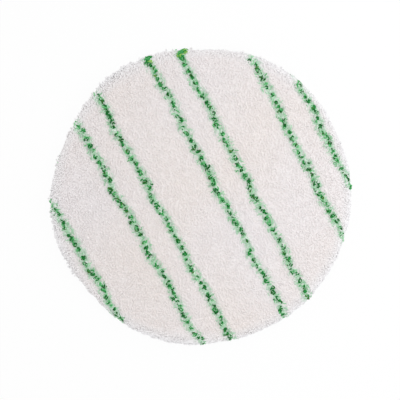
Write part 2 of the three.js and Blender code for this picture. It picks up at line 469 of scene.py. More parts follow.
def skin_at(face, x, y):
    """The skin point over a place in plan, and its outward direction, or None."""
    radius = math.hypot(x, y)
    beyond = min(max(radius - SPINE_RADIUS, 0) / RIM_ROUND, 0.999)
    lean = math.asin(beyond)
    back, way = FACES[face]["back"], FACES[face]["way"]
    east, north = x / max(radius, 1e-6), y / max(radius, 1e-6)
    out = Vector((east * math.sin(lean), north * math.sin(lean), way * math.cos(lean)))
    foot = min(radius, SPINE_RADIUS)
    start = Vector((east * foot, north * foot, back + way * SPINE_HEIGHT)) + out * RAY_ROUNDS * RIM_ROUND
    hit = skins[face][0].ray_cast(start, -out)[0]
    return None if hit is None else (hit, out)


def strip_line(node):
    """Stations along a strip: how far along, the middle across, and half the width."""
    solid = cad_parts[node].data
    points = np.array([vertex.co for vertex in solid.vertices])
    first, second = points[np.array([edge.vertices for edge in solid.edges])].transpose(1, 0, 2)
    low, high = points[:, 1].min(), points[:, 1].max()
    stations = np.arange(low + STATION_STEP / 2, high, STATION_STEP)
    middle, half = [], []
    for y in stations:
        cut = (first[:, 1] - y) * (second[:, 1] - y) < 0
        share = (y - first[cut, 1]) / (second[cut, 1] - first[cut, 1])
        x = first[cut, 0] + share * (second[cut, 0] - first[cut, 0])
        middle.append((x.min() + x.max()) / 2)
        half.append(np.ptp(x) / 2)
    return stations, np.array(middle), np.array(half)


for node in strip_nodes("upper"):
    stations, middle, half = strip_line(node)
    print(node, "at", round(middle.mean() / MM, 1), "length", round(np.ptp(stations) / MM, 1),
          "width", round(2 * half.mean() / MM, 1))

# %% [markdown]
# ## Materials
#
# Yarn is nearly matt. Its look comes from the twist of its plies, from loose fibres, and from small
# changes of shade between tufts. Twist and fibres are needed in the white and in the green yarn, so
# both are node groups.

# %% Helpers for nodes
def link(tree, source, target):
    """Joins an output to an input."""
    tree.links.new(source, target)


def add_node(tree, kind, **inputs):
    """A new node, with its named inputs set to values or linked to outputs."""
    made = tree.nodes.new(kind)
    for label, value in inputs.items():
        socket = made.inputs[int(label[3:])] if label.startswith("in_") else made.inputs[label]
        if isinstance(value, bpy.types.NodeSocket):
            link(tree, value, socket)
        else:
            socket.default_value = value
    return made


def math_node(tree, operation, first, second=0.0, clamp=False):
    """The output of a Math node."""
    made = add_node(tree, "ShaderNodeMath", in_0=first, in_1=second)
    made.operation = operation
    made.use_clamp = clamp
    return made.outputs[0]


def spread(tree, value, low, high, new_low, new_high):
    """The output of a Map Range node."""
    made = tree.nodes.new("ShaderNodeMapRange")
    for label, part in (("Value", value), ("From Min", low), ("From Max", high),
                        ("To Min", new_low), ("To Max", new_high)):
        if isinstance(part, bpy.types.NodeSocket):
            link(tree, part, made.inputs[label])
        else:
            made.inputs[label].default_value = part
    return made.outputs["Result"]


def blend_colours(tree, factor, first, second, how="MIX"):
    """The output of a colour Mix node."""
    made = tree.nodes.new("ShaderNodeMix")
    made.data_type = "RGBA"
    made.blend_type = how
    sockets = {socket.identifier: socket for socket in made.inputs}
    for label, part in (("Factor_Float", factor), ("A_Color", first), ("B_Color", second)):
        if isinstance(part, bpy.types.NodeSocket):
            link(tree, part, sockets[label])
        else:
            sockets[label].default_value = part
    return {socket.identifier: socket for socket in made.outputs}["Result_Color"]


print("helpers for Math, Map Range and Mix nodes")

# %% Helpers for attributes, colours and groups
def attribute(tree, label):
    """The value of a stored attribute."""
    made = tree.nodes.new("ShaderNodeAttribute")
    made.attribute_name = label
    return made.outputs["Fac"]


def shade(red, green, blue):
    """A colour written in everyday 0 to 255 numbers, as the linear colour that Blender uses."""
    parts = [part / 255 for part in (red, green, blue)]
    return tuple(p / 12.92 if p <= 0.04045 else ((p + 0.055) / 1.055) ** 2.4 for p in parts) + (1.0,)


def new_group(name, inputs, outputs):
    """An empty node group with named sockets of floats, colours or vectors."""
    tree = bpy.data.node_groups.new(name, "ShaderNodeTree")
    for label, kind, value in inputs:
        socket = tree.interface.new_socket(label, in_out="INPUT", socket_type=kind)
        if value is not None:
            socket.default_value = value
    for label, kind in outputs:
        tree.interface.new_socket(label, in_out="OUTPUT", socket_type=kind)
    return tree, tree.nodes.new("NodeGroupInput"), tree.nodes.new("NodeGroupOutput")


print("a mid grey is", round(shade(128, 128, 128)[0], 3), "in linear light")

# %% [markdown]
# ## The twist of a yarn
#
# Yarn is spun from plies that wind around each other. On the real pad the grooves between the plies
# show as fine slanted lines. The `yarn` map gives the turn around the strand and the length along
# it, so a wave of both together winds like a ply. A fine noise, drawn out along the strand, adds the
# fibres. The group puts out a height for a Bump node and a mask of the grooves, with which the
# materials paint shade into them.

# %% The twist group
FLOAT = "NodeSocketFloat"
PLY_ROUNDNESS = 0.6
FIBRE_SHARE = 0.45


def twist_group():
    """Ply grooves and fibres of a spun yarn."""
    tree, given, result = new_group(
        "spun twist",
        [("Plies", FLOAT, 2.0), ("Turns per metre", FLOAT, 160.0), ("Fibres per metre", FLOAT, 2600.0)],
        [("Height", FLOAT), ("Groove", FLOAT)],
    )
    place = tree.nodes.new("ShaderNodeUVMap")
    place.uv_map = "yarn"
    parts = add_node(tree, "ShaderNodeSeparateXYZ", in_0=place.outputs["UV"])
    around_it = math_node(tree, "MULTIPLY", parts.outputs["X"], given.outputs["Plies"])
    along_it = math_node(tree, "MULTIPLY", parts.outputs["Y"], given.outputs["Turns per metre"])
    phase = math_node(tree, "MULTIPLY", math_node(tree, "ADD", around_it, along_it), 2 * math.pi)
    wave = math_node(tree, "SINE", phase)
    ply = spread(tree, wave, -1.0, 1.0, 0.0, 1.0)
    ply = math_node(tree, "POWER", ply, PLY_ROUNDNESS)
    fibre = add_node(tree, "ShaderNodeTexNoise", Scale=given.outputs["Fibres per metre"], Detail=2.0)
    solid = tree.nodes.new("ShaderNodeNewGeometry")
    link(tree, solid.outputs["Position"], fibre.inputs["Vector"])
    fine = math_node(tree, "MULTIPLY", fibre.outputs["Fac"], FIBRE_SHARE)
    link(tree, math_node(tree, "ADD", ply, fine), result.inputs["Height"])
    link(tree, ply, result.inputs["Groove"])
    return tree


spun_twist = twist_group()
print("group", spun_twist.name)

# %% [markdown]
# ## White yarn
#
# The white pile is bright and very even. Tufts differ by a few shades, the feet of the loops are
# painted a little greyer than the bows, as painted shade where they sink among the tufts, broad
# patches lean to warm or to cool white, and near the strips the tufts have caught green fibres. The
# rim is painted paler, as painted light for the light that passes through its yarn. A see-through
# shader would show that too, but it is slow, and the paler colour comes close to it.

# %% The yarn's shader
TWIST_DEPTH = 0.35 * MM
YARN_ROUGHNESS, YARN_GLOSS = 0.92, 0.15
SHEEN_ROUGHNESS = 0.5


def yarn_surface(material, colour, groove_painted_shade, twist, sheen, relief):
    """Finishes a yarn material: its shader, the bump of its twist, and painted shade in its grooves."""
    tree = material.node_tree
    tree.nodes.clear()
    spun = tree.nodes.new("ShaderNodeGroup")
    spun.node_tree = spun_twist
    spun.inputs["Turns per metre"].default_value = twist
    base = colour(tree)
    # Painted shade: the colour is darkened in the ply grooves, where shade falls between the plies.
    painted_groove_factor = spread(tree, spun.outputs["Groove"], 0.0, 1.0, groove_painted_shade, 1.0)
    grey = tree.nodes.new("ShaderNodeCombineColor")
    for channel in grey.inputs:
        link(tree, painted_groove_factor, channel)
    base = blend_colours(tree, 1.0, base, grey.outputs[0], "MULTIPLY")
    bump = add_node(tree, "ShaderNodeBump", Strength=relief, Distance=TWIST_DEPTH,
                    Height=spun.outputs["Height"])
    cover = add_node(tree, "ShaderNodeBsdfPrincipled", Roughness=YARN_ROUGHNESS)
    cover.inputs["Specular IOR Level"].default_value = YARN_GLOSS
    cover.inputs["Sheen Weight"].default_value = sheen
    cover.inputs["Sheen Roughness"].default_value = SHEEN_ROUGHNESS
    link(tree, base, cover.inputs["Base Color"])
    link(tree, bump.outputs["Normal"], cover.inputs["Normal"])
    end = tree.nodes.new("ShaderNodeOutputMaterial")
    link(tree, cover.outputs["BSDF"], end.inputs["Surface"])
    return material


print("twist grooves are up to", round(TWIST_DEPTH / MM, 2), "mm deep")

# %% White dye, with painted shade and painted light
PATCH_SCALE = 5.0
SINGLE_SHARE = 0.4
FOOT_SHADE_SHARE = 0.08
RIM_LIGHT_START = SPINE_RADIUS - 0.4 * RIM_ROUND


def patches(tree, scale, detail=2.0):
    """Soft patches over the pad, from 0 to 1."""
    place = tree.nodes.new("ShaderNodeNewGeometry")
    noise = add_node(tree, "ShaderNodeTexNoise", Scale=scale, Detail=detail)
    link(tree, place.outputs["Position"], noise.inputs["Vector"])
    return spread(tree, noise.outputs["Fac"], 0.3, 0.7, 0.0, 1.0)


def painted_rim_light(tree):
    """Painted light at the rim: 0 on the crown and 1 at the outermost yarn of the rounded rim."""
    place = tree.nodes.new("ShaderNodeNewGeometry")
    plan = add_node(tree, "ShaderNodeVectorMath", in_0=place.outputs["Position"], in_1=(1.0, 1.0, 0.0))
    plan.operation = "MULTIPLY"
    radius = add_node(tree, "ShaderNodeVectorMath", in_0=plan.outputs[0])
    radius.operation = "LENGTH"
    return spread(tree, radius.outputs["Value"], RIM_LIGHT_START, PAD_RADIUS, 0.0, 1.0)


def white_dye(tree):
    """The colour of the white yarn, with painted shade at the loops' feet and painted light at the rim."""
    warm, cool = shade(252, 242, 237), shade(252, 246, 248)
    colour = blend_colours(tree, patches(tree, PATCH_SCALE), warm, cool)
    single = blend_colours(tree, attribute(tree, "tuft"), shade(248, 241, 238), shade(254, 250, 249))
    colour = blend_colours(tree, SINGLE_SHARE, colour, single)
    # Painted shade: the feet of the loops and the bed are greyed, as if in the shade between the tufts.
    foot = spread(tree, attribute(tree, "height"), 0.0, 1.0, FOOT_SHADE_SHARE, 0.0)
    colour = blend_colours(tree, foot, colour, shade(238, 234, 235))
    # Painted light: the rim is painted paler, for the light that passes through its yarn.
    colour = blend_colours(tree, painted_rim_light(tree), colour, shade(255, 253, 254))
    return blend_colours(tree, attribute(tree, "tint"), colour, shade(196, 228, 204))


# The rim is painted paler from here out, as painted light.
print("the dye pales from", round(RIM_LIGHT_START / MM), "mm out")

# %% [markdown]
# ## Green yarn
#
# The strips hold yarn of many greens, from white that has caught a few green fibres to a dark
# bottle green, with some bright lime loops at the strips' ends. The lime is partly the loops' own
# colour and partly a painted highlight, where they catch the light. One ramp over the `tint`
# attribute gives them all, so that one material serves every strip.

# %% Green dye
# The lime at 1 is partly the yarn's own colour and partly a painted highlight.
DYES = [(0.0, (250, 252, 249)), (0.25, (206, 245, 212)), (0.5, (114, 212, 134)), (0.7, (44, 152, 70)),
        (0.88, (14, 98, 36)), (1.0, (156, 214, 104))]


def green_dye(tree):
    """The green yarn's colour: pale at tint 0, dark near 0.9, and lime at 1, partly a painted highlight."""
    ramp = add_node(tree, "ShaderNodeValToRGB", Fac=attribute(tree, "tint"))
    stops = ramp.color_ramp.elements
    for number, (place, colour) in enumerate(DYES):
        stop = stops[number] if number < 2 else stops.new(place)
        stop.position = place
        stop.color = shade(*colour)
    return ramp.outputs["Color"]


def new_material(name):
    """A new material that uses nodes."""
    material = bpy.data.materials.new(name)
    material.use_nodes = True
    return material


white_yarn = yarn_surface(new_material("white yarn"), white_dye, groove_painted_shade=0.95, twist=230.0,
                          sheen=0.55, relief=0.65)
green_yarn = yarn_surface(new_material("green yarn"), green_dye, groove_painted_shade=0.85, twist=240.0,
                          sheen=0.1, relief=0.9)
print("materials", [material.name for material in (white_yarn, green_yarn)])

# %% [markdown]
# ## White bands
#
# Each band of the solid model becomes one piece: its bed, and a tuft at every place that was found
# for it. On the upper face the loops stand up. On the lower face the pad has lain on the floor, so
# its loops are longer, flatter and further apart. No two loops are alike, so each size is given as
# a middle value and a spread about it, both in millimetres.

# %% Sizes of tufts
TUFTS = {
    "upper": {"length": (6.3, 0.9), "rise": (2.9, 0.4), "width": (1.68, 0.17), "bend": 0.8 * MM,
              "lean": 0.16, "spread": 1.0, "steps": 6},
    "lower": {"length": (9.4, 1.2), "rise": (3.6, 0.5), "width": (1.95, 0.16), "bend": 1.3 * MM,
              "lean": 0.22, "spread": 0.9, "steps": 5},
}
LEAST_SHARE = 0.4


def vary(middle_and_spread, count, rng):
    """Random sizes in millimetres about a middle, as metres."""
    middle, deviation = middle_and_spread
    return np.maximum(rng.normal(middle, deviation, count), LEAST_SHARE * middle) * MM


def sizes_of(kind, count, rng):
    """Each strand's own length, rise and width, with the bend and lean that they share."""
    own = {label: vary(kind[label], count, rng) for label in ("length", "rise", "width")}
    return {**own, "bend": kind["bend"], "lean": kind["lean"]}


print({face: kind["length"][0] for face, kind in TUFTS.items()}, "mm long on average")

# %% [markdown]
# ## The uneven rim
#
# The rim of a tufted pad is no clean circle: bunches of tufts stand a little proud of it, most of
# all on one side. A random number for each tuft would only make the rim rough. So random heights
# are set at knots around the rim and blended from one to the next, which moves whole bunches.

# %% Push the rim's tufts out in bunches
SHAGGY_SIDE = math.radians(115)
SMOOTH_SHARE = 0.12
SWELL_KNOTS = 170
SWELL_SHAPE, SWELL_SCALE, SWELL_LIMIT = 1.6, 0.7, 2.6
SWELLS = np.random.default_rng(31).gamma(SWELL_SHAPE, SWELL_SCALE, SWELL_KNOTS)
SWELLS = np.minimum(SWELLS, SWELL_LIMIT) * MM


def rim_swell(places):
    """How far the yarn stands proud of the skin: in small bumps around the rim, most on one side."""
    angle = np.arctan2(places[:, 1], places[:, 0])
    knots = np.linspace(-math.pi, math.pi, len(SWELLS) + 1)
    side = np.clip(np.cos(angle - SHAGGY_SIDE), SMOOTH_SHARE, 1)
    beyond = np.clip((np.hypot(places[:, 0], places[:, 1]) - SPINE_RADIUS) / RIM_ROUND, 0, 1)
    return np.interp(angle, knots, np.append(SWELLS, SWELLS[0])) * side * beyond


print("bunches stand out by up to", round(SWELLS.max() / MM, 1), "mm")

# %% Sew one tuft at each place
SKIN_SCATTER = 0.18 * MM
RIM_FACING = 0.6
RIM_LENGTHENING = 1.2
FOOT_WIDTH, BOW_WIDTH = 0.7, 0.34


def sew_tufts(face, places, outs, tint, yarn, rng):
    """Adds one arched tuft at each place."""
    kind, count = TUFTS[face], len(places)
    size = sizes_of(kind, count, rng)
    swell = rim_swell(places)
    size["rise"] = size["rise"] + swell
    size["length"] = size["length"] * np.where(np.abs(outs[:, 2]) < RIM_FACING, RIM_LENGTHENING, 1.0)
    places = places + outs * (rng.normal(0, SKIN_SCATTER, count) + swell)[:, None]
    heading = combed(places, outs, kind["spread"], rng)
    paths, sideways = arches(places, outs, heading, size, kind["steps"], rng)
    bow = np.cos(np.linspace(-1, 1, kind["steps"]) * math.pi / 2)
    width = size["width"][:, None] * (FOOT_WIDTH + BOW_WIDTH * np.sqrt(bow))
    # The bow's height runs to 0 at the feet, where the white dye paints shade.
    yarn.add(paths, width, sideways, bow, tint[:, None], rng)


print("tufts are thinnest at their feet, at", FOOT_WIDTH, "of their width")

# %% [markdown]
# ## Stray strands
#
# Here and there strands have come loose and stand out of the rim. They come a few together, only on
# the shaggy side. A ray from outside finds the skin where each one leaves it, and the strand starts
# a few millimetres below, so that its root is hidden.

# %% Find places for stray strands
BUNCHES = {"upper": (26, 4), "lower": (10, 3)}
BUNCH_SPREAD = 7 * MM
BUNCH_LEANS = (1.25, 1.85)


def around_rim(face, clusters, strands, rng):
    """Places and directions of stray strands, in clusters around the rim, for each node."""
    found = {}
    while clusters:
        turn = rng.uniform(0, 2 * math.pi)
        if rng.random() > max(math.cos(turn - SHAGGY_SIDE), 0):
            continue
        clusters -= 1
        for _ in range(strands):
            angle = turn + rng.normal(0, BUNCH_SPREAD / PAD_RADIUS)
            lean = rng.uniform(*BUNCH_LEANS)
            reach = Vector((math.cos(angle) * math.sin(lean), math.sin(angle) * math.sin(lean),
                            FACES[face]["way"] * math.cos(lean)))
            spine = Vector((math.cos(angle) * SPINE_RADIUS, math.sin(angle) * SPINE_RADIUS,
                            FACES[face]["back"] + FACES[face]["way"] * SPINE_HEIGHT))
            start = spine + reach * RAY_ROUNDS * RIM_ROUND
            hit, _, index, _ = skins[face][0].ray_cast(start, -reach)
            if hit is not None:
                found.setdefault(skins[face][1][index], []).append((hit, reach))
    return {node: (np.array([p for p, o in pairs]), np.array([o for p, o in pairs]))
            for node, pairs in found.items()}


rng = np.random.default_rng(23)
wisps = {face: around_rim(face, *BUNCHES[face], rng) for face in FACES}
print({face: sum(len(p) for p, o in found.values()) for face, found in wisps.items()}, "stray strands")

# %% Sew the stray strands
WISP_STEPS = 5
WISP_ROOT = 3.0 * MM
WISP_SHAPE, WISP_SCALE, WISP_LIMIT = 3.0, 0.6, 4
WISP_CURL, WISP_WAVE, WISP_WAVES = 0.45, 0.12, 6
WISP_WIDTHS = (1.5, 2.0)
WISP_TAPER = 0.35
WISP_FOOT = 0.4


def sew_wisps(places, outs, tint, yarn, rng):
    """Adds stray strands that stand out from the rim and curl over at their ends."""
    count = len(places)
    side = headings(outs, rng)
    share = np.linspace(0, 1, WISP_STEPS)
    length = np.minimum(rng.gamma(WISP_SHAPE, WISP_SCALE, count), WISP_LIMIT)[:, None] * MM + WISP_ROOT
    curl = rng.normal(0, WISP_CURL, (count, 1)) * share**2
    bend = curl + rng.normal(0, WISP_WAVE, (count, 1)) * np.sin(WISP_WAVES * share)
    run = (share * length - WISP_ROOT)[..., None]
    paths = places[:, None] + outs[:, None] * run + side[:, None] * (bend * length)[..., None]
    width = rng.uniform(*WISP_WIDTHS, count)[:, None] * MM * (1 - WISP_TAPER * share**2)
    # Stray strands start part way up the height, so less shade is painted at their roots.
    height = WISP_FOOT + (1 - WISP_FOOT) * share
    yarn.add(paths, width, np.cross(outs, side), height, tint, rng)


print("a stray strand reaches", WISP_LIMIT, "mm out at most")

# %% [markdown]
# ## From yarn to a piece
#
# Each piece rides on the pad's only body and takes the place of its node in the solid model, which
# is hidden. The whole pile is soft. The lower face rests on the floor: its strands could be shaped
# flat one by one, but it is simpler to lift every point that has sunk too low.

# %% Make pieces
FLOOR_CLEAR = 0.3 * MM


def floor_clamp(mesh, face):
    """Presses the strands of the lower face level with the floor that they lie on."""
    if face == "lower":
        for vertex in mesh.vertices:
            vertex.co.z = max(vertex.co.z, cad_box[0].z + FLOOR_CLEAR)


def dress(node, name, yarn, material):
    """Makes a piece from yarn that stands for a node."""
    mesh = yarn.mesh(name)
    floor_clamp(mesh, node.split("_")[0])
    mesh.materials.append(material)
    piece = bpy.data.objects.new(name, mesh)
    bpy.context.scene.collection.objects.link(piece)
    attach(piece, "root")
    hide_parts(node)
    return piece


print("the lower yarn stays", round(FLOOR_CLEAR / MM, 1), "mm above the floor")

# %% Sew the bands
CAUGHT_FACTORS, CAUGHT_SHARES = (0.25, 1.1), (0.55, 0.45)
WHITE_TINT = 0.0

rng = np.random.default_rng(11)
for face in FACES:
    for node in sorted(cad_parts):
        if not node.startswith(face + "_pile"):
            continue
        yarn = Yarn(*bed_of(node, face), WHITE_TINT)
        places, outs = sewn[face][node]
        factors = rng.choice(CAUGHT_FACTORS, len(places), p=CAUGHT_SHARES)
        sew_tufts(face, places, outs, caught_green(face, places) * factors, yarn, rng)
        if node in wisps[face]:
            sew_wisps(*wisps[face][node], WHITE_TINT, yarn, rng)
        piece = dress(node, node.replace("pile_band", "band_yarn"), yarn, white_yarn)
        print(piece.name, len(places), "tufts", len(piece.data.polygons), "faces")

# %% [markdown]
# ## Scrub strips
#
# Up close a strip is a chain of dark clumps. Each clump is a knot of curled green loops that cross
# over one another, and pale yarn shows between them. So a strip is sewn in three layers: pale tufts
# as on the bands, fine fringe that strays over the white, and the dark curls of each clump.
#
# Fringe and curls are scattered around clumps that follow one another at a nearly even step. Some
# clumps are looser than others, and those of the curls also lie a little to one side, which keeps
# the chain from looking printed.

# %% Scatter places around the clumps of a strip
CLUMP_STEP = 11.6 * MM
CLUMP_SCATTER = 0.12
LOOSE_FACTORS, LOOSE_SHARES = (0.9, 1.7), (0.75, 0.25)
STRAY_LIMIT = 8 * MM
STRIPS = {
    "upper": {"curls": 6, "fringes": 12, "width": (1.4, 0.18), "radius": (2.0, 0.5)},
    "lower": {"curls": 3, "fringes": 3, "width": (1.4, 0.15), "radius": (2.2, 0.5)},
}


def clump_places(node, face, count, reach_across, reach_along, stray, rng):
    """Scattered skin places around the clumps of a strip, with their outward directions."""
    stations, middle, _ = strip_line(node)
    starts = np.arange(stations[0], stations[-1], CLUMP_STEP)
    starts = starts + rng.normal(0, CLUMP_SCATTER * CLUMP_STEP, len(starts))
    counts = rng.integers(count - 2, count + 2, len(starts)) if stray else count
    beside = np.repeat(rng.normal(0, stray, len(starts)) if stray else np.zeros(len(starts)), counts)
    loose = np.repeat(rng.choice(LOOSE_FACTORS, len(starts), p=LOOSE_SHARES), counts)
    starts = np.repeat(starts, counts)
    y = starts + rng.normal(0, reach_along, len(starts)) * loose
    across = beside + rng.normal(0, reach_across, len(starts)) * loose
    x = np.interp(y, stations, middle) + np.clip(across, -STRAY_LIMIT, STRAY_LIMIT)
    found = [skin_at(face, a, b) for a, b in zip(x, y)]
    found = [pair for pair in found if pair]
    return np.array([p for p, o in found]), np.array([o for p, o in found])


print("a clump every", round(CLUMP_STEP / MM, 1), "mm")

# %% [markdown]
# ## Curls
#
# Coarse yarn springs back into curls when it is cut free from its reel. A curl is part of an oval
# turn that lies tilted on the pile, and that rises in its middle and dips in at both ends. Circles
# of one size would look like rings, so the span, the oval and the tilt are all random.

# %% Bend strands into curls
CURL_STEPS = 10
CURL_TILT = 0.45
CURL_SPANS = (math.radians(110), math.radians(330))
CURL_START, CURL_GROWTH = 0.75, 0.45
CURL_OVALS = (0.55, 1.0)
CURL_RISES, CURL_BULGE = (2.2, 3.4), 0.6
CURL_SINK, CURL_SLOPE = 3.0 * MM, 0.8
CURL_THIN = 0.85


def curls(places, outs, radius, rng):
    """Paths of curled loops that lie on their places, and the directions across them."""
    count = len(places)
    heading = headings(outs, rng)
    tilted = unit(around(heading, outs, rng.normal(0, CURL_TILT, count)))
    beside = np.cross(tilted, heading)
    span = rng.uniform(*CURL_SPANS, count)
    share = np.linspace(0, 1, CURL_STEPS)
    angle = span[:, None] * share[None] + rng.uniform(0, 2 * math.pi, count)[:, None]
    grow = radius[:, None] * (CURL_START + CURL_GROWTH * share[None])
    oval = rng.uniform(*CURL_OVALS, count)[:, None]
    rise = np.sin(math.pi * share)[None] ** CURL_BULGE * rng.uniform(*CURL_RISES, count)[:, None] * MM
    slope = rng.uniform(-CURL_SLOPE, CURL_SLOPE, count)[:, None] * MM
    rise = rise - CURL_SINK + share[None] * slope
    paths = (places[:, None] + heading[:, None] * (grow * np.cos(angle))[..., None]
             + beside[:, None] * (grow * oval * np.sin(angle))[..., None] + tilted[:, None] * rise[..., None])
    return paths, tilted


print("a curl turns", [round(math.degrees(span)) for span in CURL_SPANS], "degrees")

# %% Sew the curls, brighter near some ends
CURL_TINTS, CURL_SHARES = (0.52, 0.68, 0.78, 0.88), (0.16, 0.26, 0.32, 0.26)
TINT_SCATTER = 0.02
LIVELY_ENDS = {"upper_scrub_strip_1": 1, "upper_scrub_strip_4": 1, "upper_scrub_strip_5": 1,
               "upper_scrub_strip_7": -1}
LIVELY_LENGTH = 16 * MM
LIVELY_TINT, LIVELY_SHARE = 0.6, 0.5


def sew_curls(face, node, yarn, rng):
    """Adds the dark curls of a strip. A lively end has brighter ones: 1 is its +Y end, -1 its -Y end."""
    kind = STRIPS[face]
    places, outs = clump_places(node, face, kind["curls"], reach_across=1.2 * MM,
                                reach_along=2.0 * MM, stray=0.9 * MM, rng=rng)
    count = len(places)
    radius = vary(kind["radius"], count, rng)
    paths, sideways = curls(places, outs, radius, rng)
    width = vary(kind["width"], count, rng)[:, None] * np.linspace(1.0, CURL_THIN, CURL_STEPS)
    height = np.sin(np.linspace(0, math.pi, CURL_STEPS))
    tint = rng.choice(CURL_TINTS, count, p=CURL_SHARES)
    if node in LIVELY_ENDS:
        gap = np.abs(places[:, 1] - (places[:, 1].max() if LIVELY_ENDS[node] > 0 else places[:, 1].min()))
        tint = np.where((gap < LIVELY_LENGTH) & (rng.random(count) < LIVELY_SHARE), LIVELY_TINT, tint)
    yarn.add(paths, width, sideways, height, tint[:, None] + rng.normal(0, TINT_SCATTER, (count, 1)), rng)


print(len(LIVELY_ENDS), "strips have a bright end")

# %% [markdown]
# ## Fringe and spilled loops
#
# Fine pale strands stray from a strip over the white, as worn yarn does. At two ends longer loops
# have been dragged sideways over the rim, and their green is bright there, with some lime that is
# partly a painted highlight. Both are plain arches: only their size, their colour and the way that
# they lie differ.

# %% Sew fringe and spilled loops
STRAY = {"length": (5.6, 1.4), "rise": (2.2, 0.6), "width": (0.8, 0.14), "bend": 0.8 * MM, "lean": 0.4}
STRAY_TINTS, STRAY_SHARES = (0.14, 0.25, 0.36, 0.52), (0.28, 0.42, 0.26, 0.04)
STRAY_LIFT, STRAY_STEPS, STRAY_HEIGHT = 0.6 * MM, 5, 0.8
SPILL = {"length": (11.0, 2.0), "rise": (5.5, 1.0), "width": (1.25, 0.15), "bend": 1.5 * MM, "lean": 0.5}
# Tint 1 is the lime, partly a painted highlight on the spilled loops.
SPILL_TINTS, SPILL_SHARES = (0.6, 0.7, 1.0), (0.35, 0.3, 0.35)
SPILL_LIFT, SPILL_STEPS, SPILL_HEIGHT = 3.5 * MM, 7, 0.9
SPILLS = {"upper_scrub_strip_4": (10, 5 * MM), "upper_scrub_strip_5": (16, 15 * MM)}
SPILL_START, SPILL_BEYOND = -2.5 * MM, (1.0 * MM, 1.8 * MM)
SPILL_WAY, SPILL_TURN = math.radians(15), 0.35


def sew_fringe(face, node, yarn, rng):
    """Adds fine pale green strands that stray from a strip over the white."""
    kind = STRIPS[face]
    places, outs = clump_places(node, face, kind["fringes"], reach_across=3.9 * MM,
                                reach_along=4.5 * MM, stray=0.0, rng=rng)
    size = sizes_of(STRAY, len(places), rng)
    lifted = places + outs * STRAY_LIFT
    paths, sideways = arches(lifted, outs, headings(outs, rng), size, STRAY_STEPS, rng)
    tint = rng.choice(STRAY_TINTS, len(places), p=STRAY_SHARES)
    yarn.add(paths, size["width"][:, None], sideways, STRAY_HEIGHT, tint[:, None], rng)


def sew_spill(face, node, count, reach, yarn, rng):
    """Adds the bright loops that spill sideways over the rim at the +Y end of a strip."""
    stations, middle, _ = strip_line(node)
    beside = rng.uniform(SPILL_START, reach, count)
    y = stations.max() + rng.normal(*SPILL_BEYOND, count) + beside * math.tan(SPILL_WAY)
    x = middle[-1] + beside
    found = [pair for pair in (skin_at(face, a, b) for a, b in zip(x, y)) if pair]
    places, outs = np.array([p for p, o in found]), np.array([o for p, o in found])
    size = sizes_of(SPILL, len(places), rng)
    angle = SPILL_WAY + rng.normal(0, SPILL_TURN, len(places))
    way = np.stack([np.cos(angle), np.sin(angle), np.zeros(len(places))], 1)
    heading = unit(way - outs * np.sum(way * outs, 1, keepdims=True))
    paths, sideways = arches(places + outs * SPILL_LIFT, outs, heading, size, SPILL_STEPS, rng)
    tint = rng.choice(SPILL_TINTS, len(places), p=SPILL_SHARES)
    yarn.add(paths, size["width"][:, None], sideways, SPILL_HEIGHT, tint[:, None], rng)


print("loops spill over the rim at", sorted(SPILLS))

# %% Sew the strips
BED_WIDENING = 0.4 * MM
BED_TINT = 0.2
BASE_TINTS, BASE_SHARES = (0.05, 0.16, 0.3), (0.45, 0.3, 0.25)
WISP_TINT = 0.45


def strip_bed(node, face):
    """The bed of a strip, a little wider than its solid, so that no gap shows beside it."""
    points, faces = bed_of(node, face)
    stations, middle, _ = strip_line(node)
    side = np.sign(points[:, 0] - np.interp(points[:, 1], stations, middle))
    points[:, 0] += side * BED_WIDENING
    return points, faces


for face in FACES:
    for node in strip_nodes(face):
        yarn = Yarn(*strip_bed(node, face), BED_TINT)
        places, outs = sewn[face][node]
        sew_tufts(face, places, outs, rng.choice(BASE_TINTS, len(places), p=BASE_SHARES), yarn, rng)
        if node in SPILLS:
            sew_spill(face, node, *SPILLS[node], yarn, rng)
        sew_fringe(face, node, yarn, rng)
        sew_curls(face, node, yarn, rng)
        if node in wisps[face]:
            sew_wisps(*wisps[face][node], WISP_TINT, yarn, rng)
        piece = dress(node, node.replace("scrub_strip", "strip_yarn"), yarn, green_yarn)
        print(piece.name, len(piece.data.polygons), "faces")

# %% [markdown]
# ## Backing cloths and seam
#
# The two cloths are hidden by the yarn, and still they carry it, so they are made. A tufted cloth is
# held flat by its stitches, but each row pulls it a little, which leaves shallow puckers. A woven
# finish comes from two waves at right angles.

# %% Make the cloths
CLOTH_RINGS = 14
CLOTH_SPOKES = 96
PUCKER = 0.12 * MM
PUCKER_LENGTHS = (7 * MM, 9 * MM)
WEAVE_PITCH, WEAVE_DEPTH, WEAVE_RELIEF = 1.6 * MM, 0.2 * MM, 0.6
CLOTH_ROUGHNESS, CLOTH_GLOSS = 0.9, 0.2


